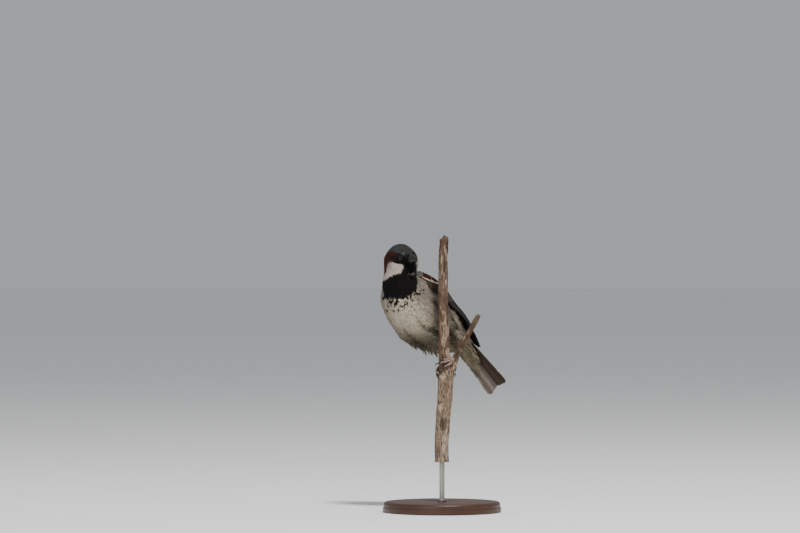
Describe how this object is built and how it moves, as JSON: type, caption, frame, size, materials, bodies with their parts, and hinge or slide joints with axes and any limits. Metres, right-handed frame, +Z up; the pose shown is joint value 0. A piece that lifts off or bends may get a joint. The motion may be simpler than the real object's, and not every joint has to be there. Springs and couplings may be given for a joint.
{
  "type": "house sparrow model",
  "caption": "Life-size adult male house sparrow, perched on a cut forked stem and looking to its left, on a plain round display stand.",
  "frame": {"origin": "centre of the underside of the stand's round base", "axes": "+Z up along the perch, -Y towards the viewer that the breast faces, +X towards the tail"},
  "size_m": [0.0964, 0.0951, 0.2109],
  "materials": {
    "plumage": "matt overlapping body feathers, grey above the eye, black at the throat, pale grey below",
    "flight_feathers": "satin vanes, dark brown with paler edges",
    "tail_feathers": "satin vanes, grey-brown with paler edges",
    "bill_horn": "black horn with a soft sheen",
    "eye": "wet dark brown, almost black",
    "leg_skin": "pinkish brown scaled skin",
    "claw_horn": "dark horn",
    "bark": "weathered grey-brown bark",
    "rod_metal": "satin metal",
    "base_wood": "dark stained wood, satin lacquer"
  },
  "bodies": {
    "root": {"trunk": "plumage", "neck": "plumage", "head": "plumage", "thigh_left": "plumage", "thigh_right": "plumage", "wing_left": "flight_feathers", "wing_right": "flight_feathers", "tail": "tail_feathers", "bill_upper": "bill_horn", "bill_lower": "bill_horn", "eye_left": "eye", "eye_right": "eye", "leg_left": "leg_skin", "leg_right": "leg_skin", "claw_left_1": "claw_horn", "claw_left_2": "claw_horn", "claw_left_3": "claw_horn", "claw_left_4": "claw_horn", "claw_right_1": "claw_horn", "claw_right_2": "claw_horn", "claw_right_3": "claw_horn", "claw_right_4": "claw_horn", "perch_stem": "bark", "perch_branch": "bark", "stand_rod": "rod_metal", "stand_base": "base_wood"}
  },
  "joints": []
}
